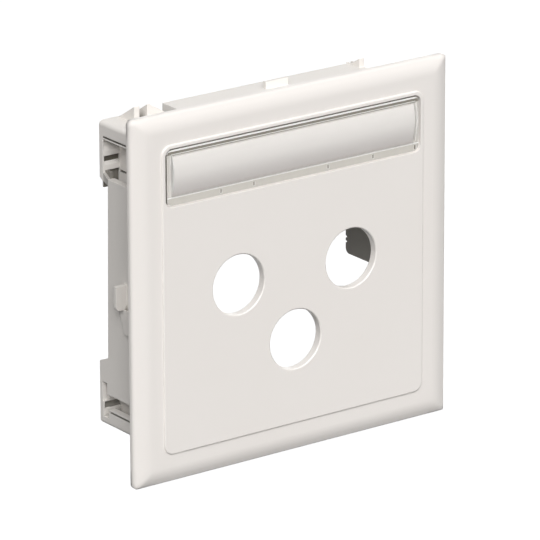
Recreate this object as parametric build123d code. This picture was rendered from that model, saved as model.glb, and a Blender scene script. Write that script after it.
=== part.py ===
from build123d import *
import math
import os

# Antenna socket cover plate for an 80 mm trunking opening, in millimetres.
# X runs to the right, Y into the trunking, Z up. The origin is the plate's centre on its mounting plane,
# which is the back of the flange. The front of the plate faces -Y.

# Cover plate
plate_width = 80.0
plate_height = 78.9
plate_corner_radius = 1.2
border_thickness = 2.25      # flange thickness beside the raised panel
border_flat = 2.8            # flat part of the border, before its crown starts
crown_tilt = 28.0            # degrees by which the crown has turned back where the edge rounding starts
edge_round = 0.8
side_border = 6.9            # border left and right of the raised panel
end_border = 6.35            # border above and below it
panel_corner_radius = 2.2
panel_step = 0.35            # height of the panel over the border
panel_edge_round = 0.25
panel_wall = 1.8             # thickness of the panel round the socket holes
flange_overlap = 0.5         # depth by which pieces of the cover run into each other
cut_past = 1.0               # distance by which cuts run past the face they open

# Socket holes
socket_radius = 6.45
socket_rim = 0.2             # chamfer at the front of each hole
socket_spread = 14.3         # the two upper holes lie this far left and right of the centre
socket_rise = 0.15           # and this far above it
socket_drop = 14.65          # the third hole lies this far below it

# Spigot on the back of the cover, which the mounting frame meets
spigot_height = 1.0
spigot_wall = 2.2
spigot_corner_radius = 2.0

# Label recess, its clear window and the strip behind it
recess_rim = 0.8             # wall left between the recess and the panel's edge
recess_height = 12.4
recess_floor = 1.2           # wall behind the recess
recess_corner_radius = 1.6
window_gap = 0.3             # play above and below the window
window_side_gap = 0.45       # play at its two ends
window_seat_gap = 0.1
window_wall = 0.9
window_rise = 1.0            # bulge of the window over its flat rim
window_bow_radius = 14.4
window_set_back = 0.15       # flat rim of the window behind the panel's front
window_end_rim = 1.0         # its width left and right, its width above is the wall's
window_lower_lip = 1.7       # its width below
strip_thickness = 0.25
strip_margin = 0.2           # gap between the strip's edges and the window
strip_side_margin = 0.35     # the same at its two ends
strip_top_margin = 0.7       # the same at its upper edge
strip_play = 0.12            # gap between the strip and the window, over it
strip_seat_gap = 0.05
bed_margin = 0.3
mark_width = 0.5             # small grooves across the window's lower lip
mark_height = 0.9
mark_depth = 0.2
mark_places = (-18.5, -10.3, 8.5, 20.0)
slit_width = 0.45            # slit for a blade, near the lip's right end
slit_height = 1.1
slit_depth = 1.2
slit_inset = 0.7             # from the window's right side

# Mounting frame
side_margin = 7.4            # from the plate's sides to the frame's
end_margin = 6.45            # from the plate's top and bottom to the frame's
frame_wall = 1.7
frame_corner_radius = 2.0
skirt_depth = 9.5            # closed part, behind the mounting plane
frame_depth = 21.5
upper_depth = 20.5           # depth of the upper left bracket, which leans forward with its wall
wall_top_gap = 12.0          # from the frame's top to the left wall's upper end
wall_bottom_gap = 7.0
wall_top_depth = 17.6        # the left wall's back edge leans
wall_bottom_depth = 18.6
strip_share = 0.8            # thickness of the strips at the left wall's back, as a share of the wall
strip_skin = 0.3             # what the slots leave of the strips at their outer side
strip_recess = 0.7           # the link from the upper strip to the wall lies this far inside the wall's face
corner_round = 1.0
piece_overlap = 0.5          # depth by which pieces of the frame run into each other

# Corner brackets of the mounting frame. Distances up and down are from the frame's top or bottom edge
bracket_width = 4.2          # from the frame's side to the web
bracket_reach = 7.0          # width of the plate that closes the bracket at the back
bracket_plate = 1.2
band_height = 3.75           # lip along the frame's top and bottom edge
seam_height = 0.45           # groove along the lip
seam_offset = 0.25           # what is left of the lip below the groove
seam_depth = 0.8
web_wall = 1.5
web_end = 16.5
groove_height = 0.5
groove_depth = 0.9
groove_place = 11.0
upper_plate_end = 10.6
upper_slot = (7.5, 8.8)
slope_start = 6.4            # above here the upper bracket's plate leans back
slope_depth = 0.85
ledge_bevel = 0.6            # bevel along the upper edge of the plate below the slot
upper_strip_end = 12.1       # where the back edge starts to run down to the wall
upper_strip_foot = 13.8
lower_plate_end = 6.2
lower_slot = (3.5, 4.9)
lower_strip_end = 13.8
lower_strip_foot = 15.1
slot_floor = 0.35            # wall left behind each slot
closing_wall = 0.45          # thin foot of the bracket's plate, at its back
closing_height = 3.8
pocket_start = 5.1
pocket_height = 4.3
pocket_front = 1.3           # the pocket starts this far in front of the plate
pocket_back = 0.3            # and ends this far behind the plate's front
lip_cut_end = 1.8            # the lower lip is cut down to here beside the plate
lip_cut_length = 1.8

# Right wall, with the cable cut-out below it
right_wall_end = 24.5        # from the frame's bottom
right_wall_round = 1.2
cable_cut_depth = 12.0       # the wall that stays in front of the cut-out
cable_cut_end = 14.5         # from the frame's bottom
nick_size = 0.45
nick_gaps = (2.5, 3.6)       # of the two nicks, above the wall's end

# Latch walls on the top and the bottom: a tongue with wedge fins, and a bar that stands a little proud
tongue_inset = 4.5           # from the frame's left side
tongue_width = 9.0
tongue_depth = 20.5
bar_inset = 16.45            # from the frame's left side
bar_rise = 0.4
fin_width = 1.3
fin_spacing = 3.2
fin_rise = 3.5
fin_catch = 14.35            # distance from the mounting plane to the catching face
fin_end = 20.0
second_fin_width = 0.65
ramp_rise = (3.4, 0.15)      # at the second fin and at the tongue's free side
tab_inset = 20.3             # from the frame's right side to the stop tab
tab_width = 5.8
tab_place = 16.5
tab_thickness = 1.0
tab_rise = 1.55
end_fin_width = 1.2
end_fin_catch = 17.4
end_fin_end = 20.8
end_fin_rise = 2.0
nub_width = 0.5
nub_rise = 0.3
nub_insets = (0.0, 1.1)      # of two nubs at the bar's back edge, from its right end

# Side catches
catch_reach = 2.7
catch_height = 5.3
catch_top = 0.05
catch_distance = 11.3
catch_wall = 0.9
catch_round = 1.0
ramp_height = 0.7            # raised field of the wall below each catch
ramp_length = 5.4
ramp_widths = (3.9, 1.9)     # at its top and its lower end

# Posts of the cover in the sockets of the frame
post_radius = 1.5
post_length = 6.0
post_gap = 0.06
post_side_inset = 7.2        # from the frame's side to the post's middle
post_end_inset = 4.4
boss_wall = 1.3
boss_depth = 9.0

# Worked out from the sizes above
half_width = plate_width / 2
half_height = plate_height / 2
panel_front = -(border_thickness + panel_step)
panel_half_width = half_width - side_border
panel_half_height = half_height - end_border
frame_half = half_width - side_margin
frame_half_height = half_height - end_margin
frame_front = spigot_height
left_wall_top = frame_half_height - wall_top_gap
left_wall_bottom = wall_bottom_gap - frame_half_height
recess_half = panel_half_width - recess_rim
recess_top = panel_half_height - recess_rim
recess_bottom = recess_top - recess_height
recess_middle = (recess_top + recess_bottom) / 2
window_side = recess_half - window_side_gap
window_low = recess_bottom + window_gap
window_high = recess_top - window_gap
window_rim_front = panel_front + window_set_back
bow_low = window_low + window_lower_lip
bow_high = window_high - window_wall
floor_front = spigot_height - recess_floor
post_x = frame_half - post_side_inset
post_z = frame_half_height - post_end_inset


def block(x, y, z):
    """Box between two limits on each axis, given in either order."""
    size = [abs(side[1] - side[0]) for side in (x, y, z)]
    middle = [(side[0] + side[1]) / 2 for side in (x, y, z)]
    return Pos(*middle) * Box(*size)


def from_front(outline, y):
    """Outline in X and Z, run through from one depth to another."""
    return extrude(Plane.XZ.offset(-y[0]) * outline, -(y[1] - y[0]))


def across(points, x):
    """Closed outline of (y, z) points, run along X from one side to another."""
    outline = make_face(Polyline(*points, close=True))
    return extrude(Plane.YZ.offset(min(x)) * outline, abs(x[1] - x[0]))


def rounded(width, height, radius, centre=(0, 0)):
    """Rounded rectangle about a centre in X and Z."""
    return Pos(*centre) * RectangleRounded(width, height, radius)


def crowned_bar(half, panel_half, length):
    """Border section, flat beside the panel and turned back at both edges, run along Z."""
    tilt = math.radians(crown_tilt)
    crown_start = panel_half + border_flat
    turn_x = half - edge_round * (1 - math.sin(tilt))
    crown_radius = (turn_x - crown_start) / math.sin(tilt)
    turn_y = -(border_thickness - crown_radius * (1 - math.cos(tilt)))
    edge_x = half - edge_round
    edge_y = turn_y + edge_round * math.cos(tilt)
    side_mid = (math.pi / 2 - tilt) / 2
    crown_mid = (
        crown_start + crown_radius * math.sin(tilt / 2),
        -border_thickness + crown_radius * (1 - math.cos(tilt / 2)),
    )
    round_mid = (edge_x + edge_round * math.cos(side_mid), edge_y - edge_round * math.sin(side_mid))
    with BuildSketch() as section:
        with BuildLine():
            Line((0, 0), (half, 0))
            Line((half, 0), (half, edge_y))
            ThreePointArc((half, edge_y), round_mid, (turn_x, turn_y))
            ThreePointArc((turn_x, turn_y), crown_mid, (crown_start, -border_thickness))
            Line((crown_start, -border_thickness), (0, -border_thickness))
            Line((0, -border_thickness), (0, 0))
        make_face()
        mirror(about=Plane.YZ)
    return Pos(0, 0, -length / 2) * extrude(section.sketch, length)


def arched(x, z, inset, back):
    """Bar along X between two heights, whose front follows the window's bow at an inset from it."""
    depth = window_rim_front - window_rise + window_bow_radius
    middle = bow_low + math.sqrt(2 * window_bow_radius * window_rise - window_rise ** 2)
    radius = window_bow_radius - inset
    bar = block(x, (depth - radius - cut_past, back), z)
    round_bar = Pos(0, depth, middle) * Rot(0, 90, 0) * Cylinder(radius, 2 * plate_width)
    return bar & round_bar


def cover_plate():
    """Flange, raised panel, holes, label recess, spigot and posts in one moulding."""
    flange = from_front(rounded(plate_width, plate_height, plate_corner_radius), (-border_thickness, 0))
    upright = crowned_bar(half_width, panel_half_width, plate_height)
    level = Rot(0, 90, 0) * crowned_bar(half_height, panel_half_height, plate_width)
    body = flange & upright & level
    panel = from_front(
        rounded(2 * panel_half_width, 2 * panel_half_height, panel_corner_radius),
        (panel_front, -border_thickness / 2))
    front = panel.faces().sort_by(Axis.Y)[0]
    body += fillet(front.edges(), panel_edge_round)
    body += from_front(
        rounded(2 * frame_half, 2 * frame_half_height, spigot_corner_radius), (-flange_overlap, spigot_height))
    hollow_half = frame_half - spigot_wall
    hollow = block(
        (-hollow_half, hollow_half), (panel_front + panel_wall, spigot_height + cut_past),
        (spigot_wall - frame_half_height, recess_bottom - recess_floor))
    body -= fillet(hollow.edges().filter_by(Axis.Y), spigot_corner_radius)
    body -= from_front(
        rounded(2 * recess_half, recess_height, recess_corner_radius, (0, recess_middle)),
        (panel_front - cut_past, floor_front))
    body += label_bed()
    for x, z in socket_places():
        hole = Pos(x, 0, z) * Rot(90, 0, 0) * Cylinder(socket_radius, 4 * border_thickness)
        rim = Pos(x, panel_front + socket_rim / 2, z) * Rot(90, 0, 0) * Cone(
            socket_radius, socket_radius + socket_rim, socket_rim)
        body -= hole + rim
    for x, z in post_places():
        root = spigot_height / 2 if z > 0 else panel_front + panel_wall - flange_overlap
        body += from_front(Pos(x, z) * Circle(post_radius + boss_wall), (root, spigot_height))
        body += from_front(Pos(x, z) * Circle(post_radius), (root, spigot_height + post_length))
    return body


def socket_places():
    """Centres of the three socket holes in X and Z."""
    return (-socket_spread, socket_rise), (socket_spread, socket_rise), (0, -socket_drop)


def post_places():
    """Centres of the four posts in X and Z."""
    return [(side * post_x, rise * post_z) for side in (-1, 1) for rise in (-1, 1)]


def strip_limits():
    """Sides and heights between which the label strip lies, inside the window's walls."""
    side = window_side - window_wall - strip_side_margin
    return (-side, side), (bow_low + strip_margin, bow_high - strip_top_margin)


def label_bed():
    """Bowed bed in the recess that carries the strip."""
    (left, right), (low, high) = strip_limits()
    inset = window_wall + strip_play + strip_thickness + strip_seat_gap
    return arched((left + bed_margin, right - bed_margin), (low + bed_margin, high - bed_margin), inset, floor_front)


def label_strip():
    """Bowed strip of card between the bed and the window."""
    x, z = strip_limits()
    outer = arched(x, z, window_wall + strip_play, floor_front)
    inner = arched(
        (2 * x[0], 2 * x[1]), (z[0] - strip_margin, z[1] + strip_margin),
        window_wall + strip_play + strip_thickness, spigot_height)
    return outer - inner


def label_window():
    """Clear cover with a flat rim, a bowed middle and a wall all round that stands in the recess."""
    back = floor_front - window_seat_gap
    rim = block((-window_side, window_side), (window_rim_front, back), (window_low, window_high))
    body = fillet(rim.edges().filter_by(Axis.Y), recess_corner_radius - window_gap)
    bow_half = window_side - window_end_rim
    body += arched((-bow_half, bow_half), (bow_low, bow_high), 0, back)
    hollow_half = window_side - window_wall
    body -= arched((-hollow_half, hollow_half), (bow_low, bow_high), window_wall, back + cut_past)
    front = window_rim_front - cut_past
    lip_middle = window_low + window_lower_lip / 2
    for place in mark_places:
        body -= block(
            (place - mark_width / 2, place + mark_width / 2), (front, window_rim_front + mark_depth),
            (lip_middle - mark_height / 2, lip_middle + mark_height / 2))
    slit_end = window_side - slit_inset
    body -= block(
        (slit_end - slit_width, slit_end), (front, window_rim_front + slit_depth),
        (lip_middle - slit_height / 2, lip_middle + slit_height / 2))
    return body


def mounting_frame():
    """Skirt, side walls, corner brackets, latch walls and catches in one moulding."""
    width = 2 * frame_half
    height = 2 * frame_half_height
    skirt = from_front(rounded(width, height, frame_corner_radius), (frame_front, skirt_depth))
    skirt -= from_front(
        rounded(width - 2 * frame_wall, height - 2 * frame_wall, frame_corner_radius / 2),
        (frame_front - cut_past, skirt_depth + cut_past))
    body = skirt + left_wall() + right_wall()
    for rise in (1, -1):
        body += latch_wall(rise)
        for side in (-1, 1):
            body += bracket(side, rise)
    for rise in (1, -1):
        for side in (-1, 1):
            body -= bracket_cuts(side, rise)
    body -= left_pocket()
    for x, z in post_places():
        body += from_front(Pos(x, z) * Circle(post_radius + post_gap + boss_wall), (frame_front, boss_depth))
        corner = math.copysign(frame_half_height - frame_wall / 2, z)
        body += block((x - boss_wall / 2, x + boss_wall / 2), (frame_front, boss_depth), (z, corner))
    for x, z in post_places():
        body -= from_front(
            Pos(x, z) * Circle(post_radius + post_gap), (frame_front - cut_past, boss_depth + cut_past))
    for side in (-1, 1):
        body += catch(side)
    return body


def wall_back(z):
    """Depth of the left wall's leaning back edge at a height."""
    share = (z - left_wall_bottom) / (left_wall_top - left_wall_bottom)
    return wall_bottom_depth + share * (wall_top_depth - wall_bottom_depth)


def left_wall():
    """Left wall with the two strips that run back to the corner brackets."""
    wall = across(
        [(frame_front, left_wall_bottom), (wall_bottom_depth, left_wall_bottom),
         (wall_top_depth, left_wall_top), (frame_front, left_wall_top)],
        (-frame_half, frame_wall - frame_half))
    strip = (-frame_half, frame_wall * strip_share - frame_half)
    edge = frame_half_height - frame_wall / 2
    foot = frame_half_height - upper_strip_foot
    end = frame_half_height - upper_strip_end
    front = upper_depth - bracket_plate
    front_end = end - (end - foot) * bracket_plate / (upper_depth - wall_back(foot))
    wall += across([(front, front_end), (upper_depth, end), (upper_depth, edge), (front, edge)], strip)
    wall += across(
        [(wall_back(foot) - piece_overlap, foot), (wall_back(foot), foot), (upper_depth, end),
         (upper_depth, frame_half_height - upper_plate_end), (wall_top_depth, frame_half_height - upper_plate_end),
         (wall_top_depth, left_wall_top), (wall_top_depth - piece_overlap, left_wall_top)],
        (strip_recess - frame_half, strip[1]))
    foot = lower_strip_foot - frame_half_height
    front = frame_depth - bracket_plate
    wall += across(
        [(wall_back(foot) - piece_overlap, foot), (wall_back(foot), foot),
         (frame_depth, lower_strip_end - frame_half_height), (frame_depth, -edge), (front, -edge),
         (front, left_wall_bottom), (wall_bottom_depth - piece_overlap, left_wall_bottom)],
        strip)
    return wall


def left_pocket():
    """Pocket through the lower strip of the left wall, in front of the bracket's plate."""
    front = frame_depth - bracket_plate
    low = pocket_start - frame_half_height
    return block(
        (-frame_half - cut_past, frame_wall * strip_share - frame_half),
        (front - pocket_front, front + pocket_back), (low, low + pocket_height))


def right_wall():
    """Right wall at full depth down to the cable cut-out, with two nicks in its back edge."""
    top = frame_half_height - frame_corner_radius
    end = right_wall_end - frame_half_height
    cut_end = cable_cut_end - frame_half_height
    side = (frame_half - frame_wall, frame_half)
    wall = across([(frame_front, end), (frame_depth, end), (frame_depth, top), (frame_front, top)], side)
    corner = wall.edges().filter_by(Axis.X).group_by(Axis.Z)[0].sort_by(Axis.Y)[-1]
    wall = fillet(corner, right_wall_round)
    for gap in nick_gaps:
        wall -= block(
            (side[0] - cut_past, side[1] + cut_past), (frame_depth - nick_size, frame_depth + cut_past),
            (end + gap - nick_size / 2, end + gap + nick_size / 2))
    wall += block(side, (frame_front, cable_cut_depth), (cut_end - piece_overlap, end + piece_overlap))
    wall += block(side, (frame_front, frame_depth), (-top, cut_end))
    return wall


def bracket(side, rise):
    """Corner bracket: a bar along the edge, a web beside it and a plate across the back."""
    upper = rise > 0
    plate_end = upper_plate_end if upper else lower_plate_end
    depth = upper_depth if upper and side < 0 else frame_depth

    def x(inset):
        return side * (frame_half - inset)

    def z(distance):
        return rise * (frame_half_height - distance)

    start = skirt_depth - piece_overlap
    plate_front = depth - bracket_plate
    body = block((x(0), x(bracket_width)), (start, depth), (z(0), z(frame_wall)))
    body += block((x(0), x(frame_wall)), (start, depth), (z(0), z(band_height)))
    long_edges = body.edges().filter_by(Axis.Y)
    corner = long_edges.sort_by(lambda edge: edge.center().X * side + edge.center().Z * rise)[-1]
    body = fillet(corner, corner_round)
    inner = strip_share * frame_wall / 2
    body += block((x(inner), x(bracket_reach)), (plate_front, depth), (z(plate_end), z(frame_wall / 2)))
    body += block(
        (x(inner), x(bracket_reach)), (depth - closing_wall, depth), (z(plate_end), z(plate_end + closing_height)))
    seam = band_height - seam_offset
    body -= block(
        (x(-cut_past), x(seam_depth)), (skirt_depth + piece_overlap, plate_front), (z(seam), z(seam - seam_height)))
    body += block(
        (x(bracket_width), x(bracket_width + web_wall)), (start, plate_front + bracket_plate / 2),
        (z(web_end), z(frame_wall / 2)))
    body -= block(
        (x(bracket_width - cut_past), x(bracket_width + groove_depth)), (skirt_depth + piece_overlap, plate_front),
        (z(groove_place), z(groove_place + groove_height)))
    if not upper:
        body -= block(
            (x(-cut_past), x(frame_wall + cut_past)), (plate_front - lip_cut_length, plate_front),
            (z(lip_cut_end), z(band_height + cut_past)))
    return body


def bracket_cuts(side, rise):
    """Slot in the plate of a corner bracket, and in an upper one the slope above it and the bevel below it."""
    upper = rise > 0
    slot = upper_slot if upper else lower_slot
    depth = upper_depth if upper and side < 0 else frame_depth
    front = depth - bracket_plate
    reach = (side * (frame_half - strip_skin), side * (frame_half - bracket_width))
    height = [rise * (frame_half_height - distance) for distance in slot]
    cuts = block(reach, (front - cut_past, depth - slot_floor), height)
    if upper:
        start = frame_half_height - slope_start
        end = frame_half_height - band_height
        ledge = height[1]
        cuts += across(
            [(front, start), (front + slope_depth, end), (front - cut_past, end), (front - cut_past, start)], reach)
        cuts += across(
            [(front + ledge_bevel, ledge), (front, ledge - ledge_bevel), (front - cut_past, ledge - ledge_bevel),
             (front - cut_past, ledge)], reach)
    return cuts


def latch_wall(rise):
    """Top or bottom wall behind the skirt: a tongue with wedge fins, and a bar with a stop tab."""
    top = rise * frame_half_height
    bar_top = top + rise * bar_rise
    inner = top - rise * frame_wall
    start = skirt_depth - piece_overlap
    left = -frame_half
    body = block((left + bar_inset, frame_half), (start, frame_depth), (bar_top, inner))
    tab = (frame_half - tab_inset - tab_width, frame_half - tab_inset)
    body += block(tab, (tab_place, tab_place + tab_thickness), (inner, bar_top + rise * tab_rise))
    end_fin = (frame_half - end_fin_width, frame_half)
    body += wedge(bar_top, rise * end_fin_rise, end_fin, end_fin_catch, end_fin_end)
    for inset in nub_insets:
        nub = frame_half - inset
        body += block(
            (nub - nub_width, nub), (frame_depth - nub_width, frame_depth), (top, bar_top + rise * nub_rise))
    tongue = (left + tongue_inset, left + tongue_inset + tongue_width)
    body += block((left + bracket_width - piece_overlap, tongue[1]), (start, tongue_depth), (top, inner))
    second = tongue[0] + fin_spacing
    ramp_start = second + second_fin_width
    for fin in ((tongue[0], tongue[0] + fin_width), (second, ramp_start)):
        body += wedge(top, rise * fin_rise, fin, fin_catch, fin_end)
    base = top - rise * frame_wall / 2
    under = from_front(
        make_face(Polyline(
            (ramp_start, base), (tongue[1], base), (tongue[1], top + rise * ramp_rise[1]),
            (ramp_start, top + rise * ramp_rise[0]), close=True)),
        (fin_catch, fin_end))
    body += wedge(top, rise * fin_rise, (ramp_start, tongue[1]), fin_catch, fin_end) & under
    return body


def wedge(top, height, x, catch_face, end):
    """Fin on a face at a height, with an upright catching side at the front and a slope down to the back."""
    base = top - math.copysign(frame_wall / 2, height)
    return across([(end, base), (end, top), (catch_face, top + height), (catch_face, base)], x)


def catch(side):
    """Fin on a side wall that catches behind the edge of the opening, with a gusset below it."""
    wall = side * frame_half
    inside = wall - side * frame_wall / 2
    low = catch_top - catch_height
    fin = block((inside, wall + side * catch_reach), (catch_distance, catch_distance + catch_wall), (low, catch_top))
    outer_edges = fin.edges().filter_by(Axis.Y).sort_by(lambda edge: edge.center().X * side)[-2:]
    fin = fillet(outer_edges.sort_by(Axis.Z)[0], catch_round)
    field = [
        (skirt_depth, low), (skirt_depth + ramp_widths[0], low),
        (skirt_depth + ramp_widths[1], low - ramp_length), (skirt_depth, low - ramp_length),
    ]
    return fin + across(field, (inside, wall + side * ramp_height))


parts = {
    "cover_plate": cover_plate,
    "mounting_frame": mounting_frame,
    "label_window": label_window,
    "label_strip": label_strip,
}
os.makedirs("parts", exist_ok=True)
for name, make in parts.items():
    export_step(make(), f"parts/{name}.step")
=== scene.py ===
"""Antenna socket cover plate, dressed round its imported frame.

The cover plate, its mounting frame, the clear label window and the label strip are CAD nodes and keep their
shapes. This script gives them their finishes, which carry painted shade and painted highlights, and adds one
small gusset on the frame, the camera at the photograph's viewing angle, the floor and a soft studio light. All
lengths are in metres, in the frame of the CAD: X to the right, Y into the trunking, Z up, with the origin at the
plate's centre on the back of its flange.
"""

import logging
import math
from dataclasses import dataclass, replace
from enum import Enum
from typing import Any

import bpy
import numpy as np
from mathutils import Matrix, Vector


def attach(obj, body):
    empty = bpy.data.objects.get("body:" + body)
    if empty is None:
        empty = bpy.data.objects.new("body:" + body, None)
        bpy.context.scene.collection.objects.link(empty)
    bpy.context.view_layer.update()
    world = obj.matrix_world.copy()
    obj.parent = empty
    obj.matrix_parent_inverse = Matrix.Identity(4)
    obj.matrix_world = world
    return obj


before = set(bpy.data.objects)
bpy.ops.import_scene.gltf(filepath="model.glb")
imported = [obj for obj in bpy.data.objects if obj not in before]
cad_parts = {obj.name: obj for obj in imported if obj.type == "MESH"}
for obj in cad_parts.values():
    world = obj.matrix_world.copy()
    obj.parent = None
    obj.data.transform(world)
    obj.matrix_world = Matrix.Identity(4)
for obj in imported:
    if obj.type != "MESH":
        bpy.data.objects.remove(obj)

logging.basicConfig(level=logging.INFO, format="%(message)s")
log = logging.getLogger("cover_plate")

MM = 0.001

Socket = bpy.types.NodeSocket
Colour = tuple[float, float, float]
Point = tuple[float, float, float]
Span = tuple[float, float]

WHITE: Colour = (1.0, 1.0, 1.0)
EDGE_SPAN: Span = (0.995, 0.85)      # dot product of the rounded and the true normal, from flat to full edge
DUST_AND_SHADE_SPAN: Span = (0.5, 0.3)         # ambient occlusion, from clean to full dust and painted shade
NOISE_SPAN: Span = (0.3, 0.7)        # range that fractal noise mostly fills
EDGE_SAMPLES = 6
CORNER_SAMPLES = 12
DUST_AND_SHADE_SAMPLES = 8
GRAIN_DETAIL = 2.0
GRAIN_GLOSS = 0.02                   # change of roughness with the grain, each way
CLOUD_SCALE = 45.0
CLOUD_DETAIL = 3.0
CLOUD_GLOSS = 0.03                   # change of roughness with the clouds, each way


class Grain(Enum):
    """How the surface of a moulded piece was finished in its mould: pitch and depth of the grain."""

    SATIN = (0.16 * MM, 0.0016 * MM)
    MATT = (0.22 * MM, 0.0032 * MM)
    POLISHED = (0.5 * MM, 0.0003 * MM)


def rgba(colour: Colour) -> tuple[float, float, float, float]:
    """Adds full opacity to a colour."""
    return (*colour, 1.0)


class Nodes:
    """A node tree with short ways to add, link and set its nodes."""

    def __init__(self, tree: bpy.types.NodeTree) -> None:
        """Takes the tree of a material, a world or a group, and empties it.

        Args:
            tree: The node tree.
        """
        self.tree = tree
        tree.nodes.clear()

    def add(self, kind: str, **settings: Any) -> bpy.types.Node:
        """Adds a node and sets its properties.

        Args:
            kind: The node's type name in Blender.
            settings: Properties of the node, by name.

        Returns:
            The new node.
        """
        node = self.tree.nodes.new(kind)
        for name, value in settings.items():
            setattr(node, name, value)
        return node

    def link(self, start: Socket, end: Socket) -> None:
        """Links one socket to another."""
        self.tree.links.new(start, end)

    def put(self, value: Any, socket: Socket) -> None:
        """Feeds an input socket.

        Args:
            value: A socket to link, a value to set, or None, which leaves the input as it is.
            socket: The input socket.
        """
        if isinstance(value, Socket):
            self.link(value, socket)
        elif value is not None:
            socket.default_value = value

    def math(self, operation: str, first: Any, second: Any = None, clamp: bool = False) -> Socket:
        """Adds a Math node.

        Args:
            operation: The operation's name in Blender.
            first: A socket or a number.
            second: A socket, a number or None.
            clamp: Whether the result is kept between 0 and 1.

        Returns:
            The node's output socket.
        """
        node = self.add("ShaderNodeMath", operation=operation, use_clamp=clamp)
        self.put(first, node.inputs[0])
        self.put(second, node.inputs[1])
        return node.outputs[0]

    def joined(self, operation: str, first: Socket, *others: Any) -> Socket:
        """Adds Math nodes that join values one after another, such as their product or the largest.

        Args:
            operation: The operation's name in Blender.
            first: The first value.
            others: Sockets or numbers that follow.

        Returns:
            The last node's output socket.
        """
        for other in others:
            first = self.math(operation, first, other)
        return first

    def vector(self, operation: str, first: Any, second: Any = None) -> bpy.types.Node:
        """Adds a Vector Math node.

        Args:
            operation: The operation's name in Blender.
            first: A socket or a vector.
            second: A socket, a vector or None.

        Returns:
            The node, whose output is Vector or Value.
        """
        node = self.add("ShaderNodeVectorMath", operation=operation)
        self.put(first, node.inputs[0])
        self.put(second, node.inputs[1])
        return node

    def ranged(self, value: Socket, span: Span, start: Any = 0.0, end: Any = 1.0) -> Socket:
        """Adds a Map Range node, clamped.

        Args:
            value: The socket that is mapped.
            span: The values that become start and end.
            start: Result at the first of them, a socket or a number.
            end: Result at the second.

        Returns:
            The mapped value's socket.
        """
        node = self.add("ShaderNodeMapRange")
        self.link(value, node.inputs["Value"])
        for name, number in zip(("From Min", "From Max", "To Min", "To Max"), (*span, start, end)):
            self.put(number, node.inputs[name])
        return node.outputs["Result"]

    def mixed(self, factor: Socket, first: Any, second: Any) -> Socket:
        """Adds a Mix node for colours.

        Args:
            factor: Share of the second colour.
            first: A socket or a colour.
            second: A socket or a colour.

        Returns:
            The mixed colour's socket.
        """
        node = self.add("ShaderNodeMix", data_type="RGBA")
        self.link(factor, node.inputs[0])
        for colour, socket in ((first, node.inputs[6]), (second, node.inputs[7])):
            self.put(colour if isinstance(colour, Socket) else rgba(colour), socket)
        return node.outputs[2]

    def mixed_shader(self, factor: Socket, first: Socket, second: Socket) -> Socket:
        """Adds a Mix Shader node.

        Args:
            factor: Share of the second shader.
            first: The first shader's socket.
            second: The second shader's socket.

        Returns:
            The mixed shader's socket.
        """
        node = self.add("ShaderNodeMixShader")
        for start, end in zip((factor, first, second), node.inputs):
            self.link(start, end)
        return node.outputs["Shader"]

    def place(self) -> Socket:
        """Adds the place on the piece, in the part's own coordinates."""
        return self.add("ShaderNodeTexCoord").outputs["Object"]

    def parts(self, vector: Socket) -> tuple[Socket, Socket, Socket]:
        """Adds a Separate XYZ node.

        Args:
            vector: The vector's socket.

        Returns:
            The sockets of its parts along X, Y and Z.
        """
        node = self.add("ShaderNodeSeparateXYZ")
        self.link(vector, node.inputs[0])
        return node.outputs[0], node.outputs[1], node.outputs[2]

    def noise(self, vector: Socket, scale: Any, detail: float) -> Socket:
        """Adds fractal noise.

        Args:
            vector: The place it is read at.
            scale: A socket or a number.
            detail: How many finer layers it has.

        Returns:
            The noise value's socket.
        """
        node = self.add("ShaderNodeTexNoise")
        node.inputs["Detail"].default_value = detail
        self.link(vector, node.inputs["Vector"])
        self.put(scale, node.inputs["Scale"])
        return node.outputs["Fac"]

    def bump(self, height: Socket, distance: Any, normal: Any = None) -> Socket:
        """Adds a Bump node.

        Args:
            height: The height's socket.
            distance: Depth of the relief, a socket or a number.
            normal: The normal's socket, or None for the piece's own.

        Returns:
            The bumped normal's socket.
        """
        node = self.add("ShaderNodeBump")
        self.link(height, node.inputs["Height"])
        self.put(distance, node.inputs["Distance"])
        self.put(normal, node.inputs["Normal"])
        return node.outputs["Normal"]

    def edges(self, radius: Any, share: float = 1.0) -> tuple[Socket, Socket]:
        """Adds a normal rounded over a small radius, and the mask of the places where it leaves the true one.

        The mask rises as the dot product of the two normals falls through the edge span.

        Args:
            radius: A socket or a number.
            share: The mask at a full edge.

        Returns:
            The sockets of the rounded normal and the mask.
        """
        bevel = self.add("ShaderNodeBevel", samples=EDGE_SAMPLES)
        self.put(radius, bevel.inputs["Radius"])
        rounded = bevel.outputs["Normal"]
        shape = self.add("ShaderNodeNewGeometry")
        alike = self.vector("DOT_PRODUCT", rounded, shape.outputs["Normal"])
        return rounded, self.ranged(alike.outputs["Value"], EDGE_SPAN, 0.0, share)

    def placed(self, group: bpy.types.NodeTree, values: dict[str, float]) -> bpy.types.Node:
        """Places a node group and sets its inputs.

        Args:
            group: The group.
            values: The inputs' values, by name.

        Returns:
            The group's node.
        """
        node = self.add("ShaderNodeGroup", node_tree=group)
        for name, value in values.items():
            node.inputs[name].default_value = value
        return node


def new_material(name: str) -> tuple[bpy.types.Material, Nodes, Socket]:
    """Makes an empty material.

    Args:
        name: Name of the material.

    Returns:
        The material, its nodes and the socket that takes its shader.
    """
    material = bpy.data.materials.new(name)
    material.use_nodes = True
    nodes = Nodes(material.node_tree)
    return material, nodes, nodes.add("ShaderNodeOutputMaterial").inputs["Surface"]


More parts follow.
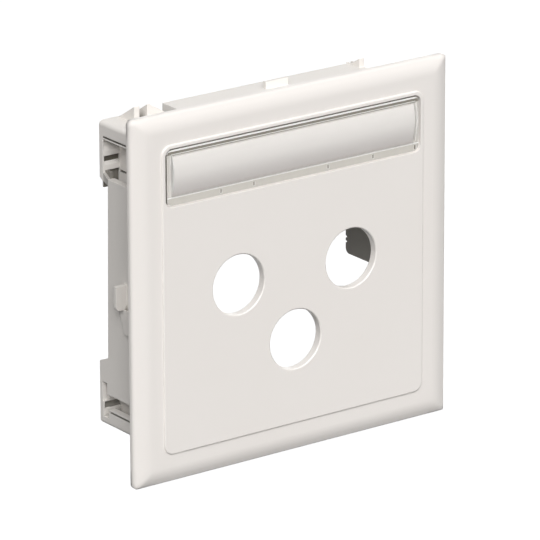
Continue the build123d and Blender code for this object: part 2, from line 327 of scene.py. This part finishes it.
def new_piece(
    name: str, points: np.ndarray, faces: list[list[int]], material: bpy.types.Material,
) -> bpy.types.Object:
    """Makes a mesh object at the origin.

    Args:
        name: Name of the object and its mesh.
        points: One row per vertex.
        faces: Vertex numbers of each face.
        material: The material of all faces.

    Returns:
        The object.
    """
    mesh = bpy.data.meshes.new(name)
    mesh.from_pydata(points.tolist(), [], faces)
    mesh.materials.append(material)
    piece = bpy.data.objects.new(name, mesh)
    bpy.context.scene.collection.objects.link(piece)
    return piece


def moulded_surface_group() -> bpy.types.NodeTree:
    """Builds the group for moulded plastic: soft edges, dust with painted shade, fine grain, and faint clouds of
    colour and gloss.

    The edge mask and the rounded normal are those of Nodes.edges. The dust mask, dust and painted shade in one,
    rises to its share as ambient occlusion falls through its span, so it darkens corners and recesses where shade
    falls. The grain is fractal noise as fine as the grain's pitch, used as a height over the rounded normal.

    Returns:
        The node group.
    """
    tree = bpy.data.node_groups.new("moulded surface", "ShaderNodeTree")
    for name in ("Pitch", "Depth", "Roughness", "Edge Radius", "Dust And Shade Reach", "Dust And Shade Share"):
        tree.interface.new_socket(name, in_out="INPUT", socket_type="NodeSocketFloat")
    for name in ("Edges", "Dust And Shade", "Clouds", "Roughness"):
        tree.interface.new_socket(name, in_out="OUTPUT", socket_type="NodeSocketFloat")
    tree.interface.new_socket("Normal", in_out="OUTPUT", socket_type="NodeSocketVector")
    nodes = Nodes(tree)
    given = nodes.add("NodeGroupInput")
    made = nodes.add("NodeGroupOutput")
    place = nodes.place()
    rounded, edges = nodes.edges(given.outputs["Edge Radius"])
    near = nodes.add("ShaderNodeAmbientOcclusion", samples=DUST_AND_SHADE_SAMPLES, only_local=True)
    nodes.link(given.outputs["Dust And Shade Reach"], near.inputs["Distance"])
    # Painted shade mixed with dust: darker where ambient occlusion is low.
    dust_and_shade = nodes.ranged(near.outputs["AO"], DUST_AND_SHADE_SPAN, 0.0, given.outputs["Dust And Shade Share"])
    grain = nodes.noise(place, nodes.math("DIVIDE", 1.0, given.outputs["Pitch"]), GRAIN_DETAIL)
    clouds = nodes.noise(place, CLOUD_SCALE, CLOUD_DETAIL)
    drift = nodes.ranged(clouds, NOISE_SPAN, -CLOUD_GLOSS, CLOUD_GLOSS)
    speck = nodes.ranged(grain, NOISE_SPAN, -GRAIN_GLOSS, GRAIN_GLOSS)
    change = nodes.math("ADD", drift, speck)
    results = {
        "Edges": edges,
        "Dust And Shade": dust_and_shade,
        "Clouds": nodes.ranged(clouds, NOISE_SPAN),
        "Roughness": nodes.math("ADD", given.outputs["Roughness"], change, clamp=True),
        "Normal": nodes.bump(grain, given.outputs["Depth"], rounded),
    }
    for name, result in results.items():
        nodes.link(result, made.inputs[name])
    return tree


@dataclass(frozen=True)
class ShadeBox:
    """Box round the deep-set faces of a slot, which get painted shadow: its middle, its half sizes and how dark
    the painted shadow is.
    """

    middle: Point
    half: Point
    share: float = 0.95

    def mask(self, nodes: Nodes) -> Socket:
        """Adds the mask of what lies inside the box.

        A place is inside where the largest part of its offset from the middle, over the half sizes, is below one.

        Args:
            nodes: The nodes of the material.

        Returns:
            The share inside, zero outside.
        """
        offset = nodes.vector("SUBTRACT", nodes.place(), self.middle)
        scaled = nodes.vector("DIVIDE", offset.outputs["Vector"], self.half)
        size = nodes.vector("ABSOLUTE", scaled.outputs["Vector"])
        largest = nodes.joined("MAXIMUM", *nodes.parts(size.outputs["Vector"]))
        return nodes.math("MULTIPLY", nodes.math("LESS_THAN", largest, 1.0), self.share)


# Deep-set faces in the slots of the brackets, darkened with painted shadow: four at the upper left, then one at
# each of the others.
BRACKET_SHADE_BOXES = (
    ShadeBox((-30.35 * MM, 20.15 * MM, 24.85 * MM), (2.05 * MM, 0.25 * MM, 0.75 * MM)),
    ShadeBox((-30.15 * MM, 20.10 * MM, 20.50 * MM), (1.90 * MM, 0.15 * MM, 2.00 * MM), 0.85),
    ShadeBox((-31.90 * MM, 19.10 * MM, 21.20 * MM), (0.10 * MM, 1.42 * MM, 1.30 * MM), 0.8),
    ShadeBox((-31.60 * MM, 18.80 * MM, 21.75 * MM), (0.42 * MM, 1.85 * MM, 0.72 * MM), 0.8),
    ShadeBox((30.35 * MM, 21.10 * MM, 24.85 * MM), (2.05 * MM, 0.25 * MM, 0.75 * MM)),
    ShadeBox((-30.35 * MM, 21.00 * MM, -28.80 * MM), (2.05 * MM, 0.35 * MM, 0.80 * MM), 0.7),
    ShadeBox((30.35 * MM, 21.00 * MM, -28.80 * MM), (2.05 * MM, 0.35 * MM, 0.80 * MM), 0.7),
)


@dataclass(frozen=True)
class MouldedPlastic:
    """Opaque moulded plastic with a fine grain, edges softened and lightened by a painted highlight, dust with
    painted shade in its deep corners, and painted shadow in its pits.

    The faces that look inwards within the hollow get painted shade, and beyond corner_from in both X and Z the
    normal is rounded over the corner radius. A shade or a corner radius of zero leaves that effect out.
    """

    name: str
    colour: Colour
    clouded: Colour
    edge_highlight_colour: Colour
    dust_and_shade_colour: Colour
    grain: Grain
    roughness: float
    dust_and_shade: float
    specular: float = 0.5
    shade: float = 0.0
    edge_highlight_share: float = 0.35
    edge_radius: float = 0.2 * MM
    dust_and_shade_reach: float = 2.5 * MM
    corner_radius: float = 0.0
    corner_from: Span = (34.8 * MM, 36.4 * MM)
    hollow: tuple[float, float] = (31.0 * MM, 31.4 * MM)
    inwards: float = 5.0 * MM
    shade_boxes: tuple[ShadeBox, ...] = ()

    def shaded_inner_faces(self, nodes: Nodes) -> Socket:
        """Adds the mask of the faces that look inwards within the hollow, which get painted shade.

        On such a face the dot product of the normal and the place, taken without its depth, is clearly negative.

        Args:
            nodes: The nodes of the material.

        Returns:
            One on these faces, zero elsewhere.
        """
        shape = nodes.add("ShaderNodeNewGeometry")
        place = nodes.place()
        flat = nodes.vector("MULTIPLY", place, (1.0, 0.0, 1.0))
        outwards = nodes.vector("DOT_PRODUCT", flat.outputs["Vector"], shape.outputs["True Normal"])
        x, _, z = nodes.parts(place)
        return nodes.joined(
            "MULTIPLY",
            nodes.math("LESS_THAN", outwards.outputs["Value"], -self.inwards),
            nodes.math("LESS_THAN", nodes.math("ABSOLUTE", x), self.hollow[0]),
            nodes.math("LESS_THAN", nodes.math("ABSOLUTE", z), self.hollow[1]))

    def softened(self, nodes: Nodes, normal: Socket) -> Socket:
        """Mixes in a widely rounded normal at the piece's corners, where both X and Z are far out.

        Args:
            nodes: The nodes of the material.
            normal: The normal elsewhere.

        Returns:
            The normal for the shader.
        """
        wide = nodes.add("ShaderNodeBevel", samples=CORNER_SAMPLES)
        wide.inputs["Radius"].default_value = self.corner_radius
        x, _, z = nodes.parts(nodes.place())
        across, along = (nodes.ranged(nodes.math("ABSOLUTE", part), self.corner_from) for part in (x, z))
        mix = nodes.add("ShaderNodeMix", data_type="VECTOR")
        nodes.link(nodes.math("MULTIPLY", across, along), mix.inputs[0])
        nodes.link(normal, mix.inputs[4])
        nodes.link(wide.outputs["Normal"], mix.inputs[5])
        return mix.outputs[1]

    def build(self, surface: bpy.types.NodeTree) -> bpy.types.Material:
        """Builds the material.

        Args:
            surface: The group for moulded plastic.

        Returns:
            The material.
        """
        material, nodes, out = new_material(self.name)
        pitch, depth = self.grain.value
        group = nodes.placed(surface, {
            "Pitch": pitch, "Depth": depth, "Roughness": self.roughness, "Edge Radius": self.edge_radius,
            "Dust And Shade Reach": self.dust_and_shade_reach, "Dust And Shade Share": self.dust_and_shade})
        deep = group.outputs["Dust And Shade"]
        # Painted shade on the faces that look inwards within the hollow.
        if self.shade:
            deep = nodes.math("MAXIMUM", deep, nodes.math("MULTIPLY", self.shaded_inner_faces(nodes), self.shade))
        # Painted shadow in the brackets' slots.
        for shade_box in self.shade_boxes:
            deep = nodes.math("MAXIMUM", deep, shade_box.mask(nodes))
        plastic = nodes.mixed(group.outputs["Clouds"], self.colour, self.clouded)
        # Painted highlight: the colour is lighter along the edges.
        edge = nodes.math("MULTIPLY", group.outputs["Edges"], self.edge_highlight_share)
        edge_lit = nodes.mixed(edge, plastic, self.edge_highlight_colour)
        normal = group.outputs["Normal"]
        if self.corner_radius:
            normal = self.softened(nodes, normal)
        shader = nodes.add("ShaderNodeBsdfPrincipled")
        shader.inputs["Specular IOR Level"].default_value = self.specular
        # The dust and shade colour goes where there is dust, painted shade in corners and in the hollow, and
        # painted shadow in the slots.
        nodes.link(nodes.mixed(deep, edge_lit, self.dust_and_shade_colour), shader.inputs["Base Color"])
        nodes.link(group.outputs["Roughness"], shader.inputs["Roughness"])
        nodes.link(normal, shader.inputs["Normal"])
        nodes.link(shader.outputs["BSDF"], out)
        return material


@dataclass(frozen=True)
class ClearPlastic:
    """Clear polished plastic with milky frosting on its walls and rim, a painted highlight along its edges, and
    painted shadow in the gap round it.

    Sides, heights and depths are the window's own: where its outer walls, its flat rim, the bow and the thin line
    of painted shade along the rim's upper inner edge lie. A wall is where the normal's part along Y falls through
    the facing span. A mark gets painted shade from its front edge on, fully so at the mark depth.
    """

    name: str = "clear window plastic"
    tint: Colour = (0.985, 0.985, 0.975)
    milk: Colour = (0.94, 0.93, 0.90)
    rim_colour: Colour = (0.86, 0.825, 0.765)
    gap_shadow_colour: Colour = (0.12, 0.105, 0.07)
    roughness: float = 0.03
    milk_roughness: float = 0.3
    ior: float = 1.49
    edge_radius: float = 0.3 * MM
    edge_highlight_milk: float = 0.85
    wall_milk: float = 0.8
    rim_milk: float = 0.6
    least_share: float = 0.01
    gap_shadow_share: float = 0.9
    mark_shade_share: float = 0.3
    mark_depth: float = 0.25 * MM
    shade_line_share: float = 0.85
    crest_highlight_share: float = 0.95
    lamp_share: float = 0.98
    facing: Span = (0.3, 0.7)
    side: float = 31.85 * MM
    heights: Span = (20.2 * MM, 32.0 * MM)
    bow_side: float = 30.85 * MM
    bow_heights: Span = (21.9 * MM, 31.1 * MM)
    rim_front: float = -2.45 * MM
    shade_line_heights: Span = (30.95 * MM, 31.62 * MM)
    foot_highlight_half: float = 0.13 * MM
    skin: float = 0.08 * MM

    def masks(self, nodes: Nodes) -> tuple[Socket, Socket, Socket]:
        """Adds the masks that follow the window's form.

        White are the walls, milky, and the crest above the line and a narrow line along the bow's lower edge,
        both painted highlight. The rim is the flat front outside the bow. Dark, with painted shade, are the gap,
        which is the outer walls and what is sunk into the lower lip, its marks and its slit, and the line, which
        is the front between two heights.

        Args:
            nodes: The nodes of the material.

        Returns:
            The white places, the rim, and the dark places, each from 0 to its share.
        """
        shape = nodes.add("ShaderNodeNewGeometry")
        facing = nodes.math("ABSOLUTE", nodes.parts(shape.outputs["True Normal"])[1])
        wall = nodes.ranged(facing, self.facing, 1.0, 0.0)
        front = nodes.ranged(facing, self.facing)
        x, y, height = nodes.parts(nodes.place())
        across = nodes.math("ABSOLUTE", x)

        def outside(side: float, low: float, high: float) -> Socket:
            """One outside a box of this half width between two heights, else zero."""
            above, below = nodes.math("GREATER_THAN", height, high), nodes.math("LESS_THAN", height, low)
            return nodes.joined("MAXIMUM", nodes.math("GREATER_THAN", across, side), above, below)

        low, high = self.heights
        outer = outside(self.side - self.skin, low + self.skin, high - self.skin)
        mark_front = self.rim_front + self.skin
        # Painted shade in the marks and slit sunk into the lower lip, darker with depth.
        sunk = nodes.joined(
            "MULTIPLY",
            nodes.math("LESS_THAN", height, self.bow_heights[0] - self.skin),
            nodes.math("GREATER_THAN", y, mark_front),
            nodes.ranged(y, (mark_front, mark_front + self.mark_depth), self.mark_shade_share, 1.0))
        walled = nodes.math("MULTIPLY", outer, wall)
        # Painted shadow in the gap: the outer walls and what is sunk into the lip.
        gap = nodes.math("MULTIPLY", nodes.math("MAXIMUM", walled, sunk), self.gap_shadow_share)
        line_low, line_high = self.shade_line_heights
        # Painted shade along the rim's upper inner edge.
        line = nodes.joined(
            "MULTIPLY",
            nodes.math("GREATER_THAN", height, line_low),
            nodes.math("LESS_THAN", height, line_high),
            front, self.shade_line_share)
        rim = nodes.joined("MULTIPLY", outside(self.bow_side, *self.bow_heights), front, self.rim_milk)
        # Painted highlight along the bow's lower edge and on the crest above the line.
        from_foot = nodes.math("ABSOLUTE", nodes.math("SUBTRACT", height, self.bow_heights[0]))
        foot = nodes.math("LESS_THAN", from_foot, self.foot_highlight_half)
        bright = nodes.math("MAXIMUM", nodes.math("GREATER_THAN", height, line_high), foot)
        crest = nodes.joined("MULTIPLY", bright, front, self.crest_highlight_share)
        white = nodes.math("MAXIMUM", nodes.math("MULTIPLY", wall, self.wall_milk), crest)
        return white, rim, nodes.math("MAXIMUM", gap, line)

    def build(self, surface: bpy.types.NodeTree) -> bpy.types.Material:
        """Builds the material.

        The share of milk is the largest one of the softened edges, milky as a painted highlight, and the masks
        that follow the window's form.
        Shadow rays and diffuse rays pass straight through, so the light reaches the card.

        Args:
            surface: The group for moulded plastic.

        Returns:
            The material.
        """
        material, nodes, out = new_material(self.name)
        pitch, depth = Grain.POLISHED.value
        group = nodes.placed(surface, {
            "Pitch": pitch, "Depth": depth, "Roughness": self.roughness, "Edge Radius": self.edge_radius})
        clear = nodes.add("ShaderNodeBsdfPrincipled")
        clear.inputs["Base Color"].default_value = rgba(self.tint)
        clear.inputs["IOR"].default_value = self.ior
        clear.inputs["Transmission Weight"].default_value = 1.0
        nodes.link(group.outputs["Roughness"], clear.inputs["Roughness"])
        nodes.link(group.outputs["Normal"], clear.inputs["Normal"])
        white, rim, dark = self.masks(nodes)
        # Painted highlight: milky white along the edges.
        white = nodes.math("MAXIMUM", white, nodes.edges(self.edge_radius, self.edge_highlight_milk)[1])
        rim_share = nodes.math("SUBTRACT", rim, white, clamp=True)
        on_rim = nodes.math("GREATER_THAN", rim_share, self.least_share)
        tinted = nodes.mixed(on_rim, self.milk, self.rim_colour)
        milky = nodes.add("ShaderNodeBsdfPrincipled")
        milky.inputs["Roughness"].default_value = self.milk_roughness
        # The gap shadow colour is painted shade on the gap, the marks and the line.
        nodes.link(nodes.mixed(dark, tinted, self.gap_shadow_colour), milky.inputs["Base Color"])
        share = nodes.joined("MAXIMUM", white, rim, dark)
        body = nodes.mixed_shader(share, clear.outputs["BSDF"], milky.outputs["BSDF"])
        through = nodes.add("ShaderNodeBsdfTransparent")
        through.inputs["Color"].default_value = rgba((self.lamp_share,) * 3)
        path = nodes.add("ShaderNodeLightPath")
        passes = nodes.math("MAXIMUM", path.outputs["Is Shadow Ray"], path.outputs["Is Diffuse Ray"])
        nodes.link(nodes.mixed_shader(passes, body, through.outputs["BSDF"]), out)
        return material


@dataclass(frozen=True)
class Card:
    """Smooth white card with faint fibres, whose colour fades to a darker one towards its lower edge as painted
    shade.
    """

    name: str = "label card"
    colour: Colour = (0.845, 0.81, 0.78)
    shaded_low_colour: Colour = (0.665, 0.62, 0.60)
    shade_fade: Span = (22.5 * MM, 26.5 * MM)
    roughness: float = 0.6
    fibre_share: float = 0.97
    fibre_span: Span = (0.35, 0.65)
    fibre_stretch: Point = (1.0, 1.0, 4.0)
    fibre_scale: float = 1800.0
    fibre_detail: float = 4.0
    fibre_depth: float = 0.004 * MM

    def build(self) -> bpy.types.Material:
        """Builds the material.

        The fibres are fractal noise squeezed along Z, so they run along the card. They darken the colour by the
        fibre share at most and raise the surface by the fibre depth.

        Returns:
            The material.
        """
        material, nodes, out = new_material(self.name)
        place = nodes.place()
        stretch = nodes.add("ShaderNodeMapping")
        stretch.inputs["Scale"].default_value = self.fibre_stretch
        nodes.link(place, stretch.inputs["Vector"])
        fibres = nodes.noise(stretch.outputs["Vector"], self.fibre_scale, self.fibre_detail)
        # Painted shade: darker towards the lower edge.
        height = nodes.ranged(nodes.parts(place)[2], self.shade_fade)
        darker = nodes.add("ShaderNodeHueSaturation")
        nodes.link(nodes.mixed(height, self.shaded_low_colour, self.colour), darker.inputs["Color"])
        nodes.link(nodes.ranged(fibres, self.fibre_span, self.fibre_share, 1.0), darker.inputs["Value"])
        shader = nodes.add("ShaderNodeBsdfPrincipled")
        shader.inputs["Roughness"].default_value = self.roughness
        nodes.link(darker.outputs["Color"], shader.inputs["Base Color"])
        nodes.link(nodes.bump(fibres, self.fibre_depth), shader.inputs["Normal"])
        nodes.link(shader.outputs["BSDF"], out)
        return material


@dataclass
class PlateAssembly:
    """The four CAD nodes of the cover plate, with the finish of each and the colour of the strip's foot, which is
    painted shade.
    """

    cover: MouldedPlastic = MouldedPlastic(
        name="satin cover plastic", colour=(0.852, 0.813, 0.777), clouded=(0.844, 0.803, 0.765),
        edge_highlight_colour=(0.90, 0.875, 0.845), dust_and_shade_colour=(0.30, 0.28, 0.25), grain=Grain.SATIN, roughness=0.36,
        dust_and_shade=0.5, corner_radius=1.6 * MM)
    mount: MouldedPlastic = MouldedPlastic(
        name="matt frame plastic", colour=(0.850, 0.815, 0.775), clouded=(0.838, 0.803, 0.760),
        edge_highlight_colour=(0.97, 0.95, 0.92), dust_and_shade_colour=(0.11, 0.10, 0.075), grain=Grain.MATT, roughness=0.5,
        dust_and_shade=0.75, specular=0.25, shade=0.68, edge_highlight_share=0.7, shade_boxes=BRACKET_SHADE_BOXES)
    foot_shade_colour: Colour = (0.50, 0.48, 0.45)
    window: ClearPlastic = ClearPlastic()
    strip: Card = Card()

    def dress(self) -> bpy.types.Material:
        """Gives each CAD node its material and logs it.

        Returns:
            The frame plastic darkened with painted shade, for the strip's foot.
        """
        surface = moulded_surface_group()
        finishes = {
            "cover_plate": self.cover.build(surface),
            "mounting_frame": self.mount.build(surface),
            "label_window": self.window.build(surface),
            "label_strip": self.strip.build(),
        }
        for node, material in finishes.items():
            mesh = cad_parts[node].data
            mesh.materials.clear()
            mesh.materials.append(material)
            log.info("%s: %s", node, material.name)
        # Painted shade: the strip's foot gets a darker copy of the frame plastic.
        shaded = replace(
            self.mount, name="shaded frame plastic", colour=self.foot_shade_colour, clouded=self.foot_shade_colour,
            edge_highlight_colour=self.foot_shade_colour, shade=0.0, shade_boxes=())
        return shaded.build(surface)


@dataclass
class StripFoot:
    """Gusset that fills the corner between the frame's upper left strip and the side wall's back edge, in plastic
    darkened with painted shade.
    """

    name: str = "strip_foot"
    outer: float = -32.58 * MM
    inner: float = -31.8 * MM
    depths: Span = (17.5 * MM, 19.4 * MM)
    low_heights: Span = (19.12 * MM, 20.25 * MM)
    rise: float = 1.8 * MM
    undercut: float = 0.3 * MM
    stations: int = 9

    def build(self, material: bpy.types.Material) -> None:
        """Builds the gusset and lets it ride on the frame.

        At a share s from the wall to the strip its section has four corners: the lower edge climbs in a straight
        line with s, the upper edge stays a fixed rise above it, and the lower outer corner is drawn in by the
        undercut times one minus s squared.

        Args:
            material: The frame's plastic darkened with painted shade.
        """
        share = np.linspace(0.0, 1.0, self.stations)
        depth = self.depths[0] + share * (self.depths[1] - self.depths[0])
        low = self.low_heights[0] + share * (self.low_heights[1] - self.low_heights[0])
        drawn = self.outer + self.undercut * (1.0 - share ** 2)
        outer, inner = np.full_like(share, self.outer), np.full_like(share, self.inner)
        section = ((outer, low + self.rise), (drawn, low), (inner, low), (inner, low + self.rise))
        points = np.stack([np.stack([x, depth, z], axis=-1) for x, z in section], axis=1).reshape(-1, 3)
        corner = np.arange(4)
        following = (corner + 1) % 4
        start = 4 * np.arange(self.stations - 1)[:, None]
        faces = np.stack([start + corner, start + corner + 4, start + following + 4, start + following], axis=-1)
        last = 4 * (self.stations - 1)
        caps = [corner.tolist(), (last + corner[::-1]).tolist()]
        piece = new_piece(self.name, points, faces.reshape(-1, 4).tolist() + caps, material)
        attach(piece, "frame")
        log.info("%s: %d faces", self.name, len(piece.data.polygons))


@dataclass(frozen=True)
class PhotoCamera:
    """Camera at the photograph's viewing angle, given as turns about the plate and the view's offset."""

    lens: float = 356.154
    sensor: float = 36.0
    yaw: float = 0.627747
    pitch: float = 0.328396
    roll: float = 0.004148
    offset: Point = (5.25788 * MM, 0.40238 * MM, 1098.45955 * MM)
    panel_front: float = 2.6 * MM
    clip: Span = (0.05, 50.0)

    def axes(self) -> np.ndarray:
        """Works out the picture's axes.

        Forward is turned by yaw to the right and by pitch down. Right is level, down is their cross product, and
        roll turns right and down about forward.

        Returns:
            Right, down and forward as the rows of a 3 by 3 array.
        """
        sin_yaw, cos_yaw = math.sin(self.yaw), math.cos(self.yaw)
        sin_pitch, cos_pitch = math.sin(self.pitch), math.cos(self.pitch)
        forward = np.array([sin_yaw * cos_pitch, cos_yaw * cos_pitch, -sin_pitch])
        right = np.array([cos_yaw, -sin_yaw, 0.0])
        down = np.cross(forward, right)
        sin_roll, cos_roll = math.sin(self.roll), math.cos(self.roll)
        return np.array([cos_roll * right + sin_roll * down, cos_roll * down - sin_roll * right, forward])

    def place(self) -> None:
        """Makes the camera and sets it as the scene's."""
        right, down, forward = axes = self.axes()
        data = bpy.data.cameras.new("photo_camera")
        data.lens = self.lens
        data.sensor_width = self.sensor
        data.clip_start, data.clip_end = self.clip
        camera = bpy.data.objects.new("photo_camera", data)
        bpy.context.scene.collection.objects.link(camera)
        stand = -axes.T @ np.array(self.offset) - np.array([0.0, self.panel_front, 0.0])
        turned = Matrix(np.stack([right, -down, -forward], axis=1).tolist()).to_4x4()
        camera.matrix_world = Matrix.Translation(Vector(stand.tolist())) @ turned
        bpy.context.scene.camera = camera


@dataclass(frozen=True)
class BroadLamp:
    """A far, broad lamp, given by the direction it stands in, its strength and how wide it looks in degrees."""

    name: str
    stands: Point
    strength: float
    angle: float

    def build(self) -> None:
        """Makes the lamp."""
        data = bpy.data.lights.new(self.name, "SUN")
        data.energy = self.strength
        data.angle = math.radians(self.angle)
        lamp = bpy.data.objects.new(self.name, data)
        bpy.context.scene.collection.objects.link(lamp)
        lamp.rotation_mode = "QUATERNION"
        lamp.rotation_quaternion = Vector(self.stands).to_track_quat("Z", "Y")


@dataclass(frozen=True)
class Studio:
    """White studio: a pale floor, a broad lamp at the upper left, weaker ones above and behind, and a surround.

    The floor and the surround are white to the camera, and dim as sources of light.
    """

    floor_height: float = -0.9
    floor_half: float = 14.0
    floor_bounce: Colour = (0.05, 0.05, 0.05)
    floor_lift: float = 0.2
    lamps: tuple[BroadLamp, ...] = (
        BroadLamp("key_lamp", (-0.50, -0.65, 0.57), 2.61, 40.0),
        BroadLamp("top_lamp", (0.123, -0.696, 0.707), 1.21, 60.0),
        BroadLamp("back_lamp", (0.55, 0.83, -0.10), 0.7, 40.0),
    )
    surround: float = 0.10
    surround_from: Point = (-0.3, -0.4, 0.3)

    def seen(self, nodes: Nodes) -> Socket:
        """Adds the nodes that say whether a ray comes from the camera, straight or by gloss or clear plastic.

        Args:
            nodes: The nodes of the material or the world.

        Returns:
            One for such a ray, else zero.
        """
        rays = nodes.add("ShaderNodeLightPath").outputs
        return nodes.joined("MAXIMUM", rays["Is Camera Ray"], rays["Is Glossy Ray"], rays["Is Transmission Ray"])

    def floor(self) -> None:
        """Makes the floor, a flat grid, with its material."""
        material, nodes, out = new_material("pale floor")
        seen = self.seen(nodes)
        diffuse = nodes.add("ShaderNodeBsdfDiffuse")
        nodes.link(nodes.mixed(seen, self.floor_bounce, WHITE), diffuse.inputs["Color"])
        lift = nodes.add("ShaderNodeEmission")
        nodes.link(nodes.math("MULTIPLY", seen, self.floor_lift), lift.inputs["Strength"])
        both = nodes.add("ShaderNodeAddShader")
        nodes.link(diffuse.outputs["BSDF"], both.inputs[0])
        nodes.link(lift.outputs["Emission"], both.inputs[1])
        nodes.link(both.outputs["Shader"], out)
        side = np.linspace(-self.floor_half, self.floor_half, 3)
        x, y = np.meshgrid(side, side, indexing="ij")
        points = np.stack([x, y, np.full_like(x, self.floor_height)], axis=-1).reshape(-1, 3)
        corner = np.array([0, 1, 3, 4])
        faces = np.stack([corner, corner + 3, corner + 4, corner + 1], axis=1)
        floor = new_piece("studio_floor", points, faces.tolist(), material)

    def world(self) -> None:
        """Makes the surround.

        Its strength in a direction is the surround's level times one plus the direction's part towards
        surround_from, so it is brightest in front of the plate and weaker behind it.
        """
        world = bpy.data.worlds.new("white surround")
        bpy.context.scene.world = world
        world.use_nodes = True
        nodes = Nodes(world.node_tree)
        out = nodes.add("ShaderNodeOutputWorld")
        direction = nodes.add("ShaderNodeTexCoord").outputs["Generated"]
        along = nodes.vector("DOT_PRODUCT", direction, self.surround_from)
        level = nodes.ranged(along.outputs["Value"], (-1.0, 1.0), 0.0, 2.0 * self.surround)
        sky = nodes.add("ShaderNodeBackground")
        sky.inputs["Color"].default_value = rgba(WHITE)
        nodes.link(nodes.math("MAXIMUM", level, self.seen(nodes)), sky.inputs["Strength"])
        nodes.link(sky.outputs["Background"], out.inputs["Surface"])

    def build(self) -> None:
        """Builds the floor, the lamps and the surround."""
        self.floor()
        for lamp in self.lamps:
            lamp.build()
        self.world()


def main() -> None:
    """Builds everything in order."""
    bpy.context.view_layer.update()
    bpy.context.scene.view_settings.view_transform = "Standard"
    PhotoCamera().place()
    Studio().build()
    shaded = PlateAssembly().dress()
    StripFoot().build(shaded)
    log.info("boxes written")


if __name__ == "__main__":
    main()
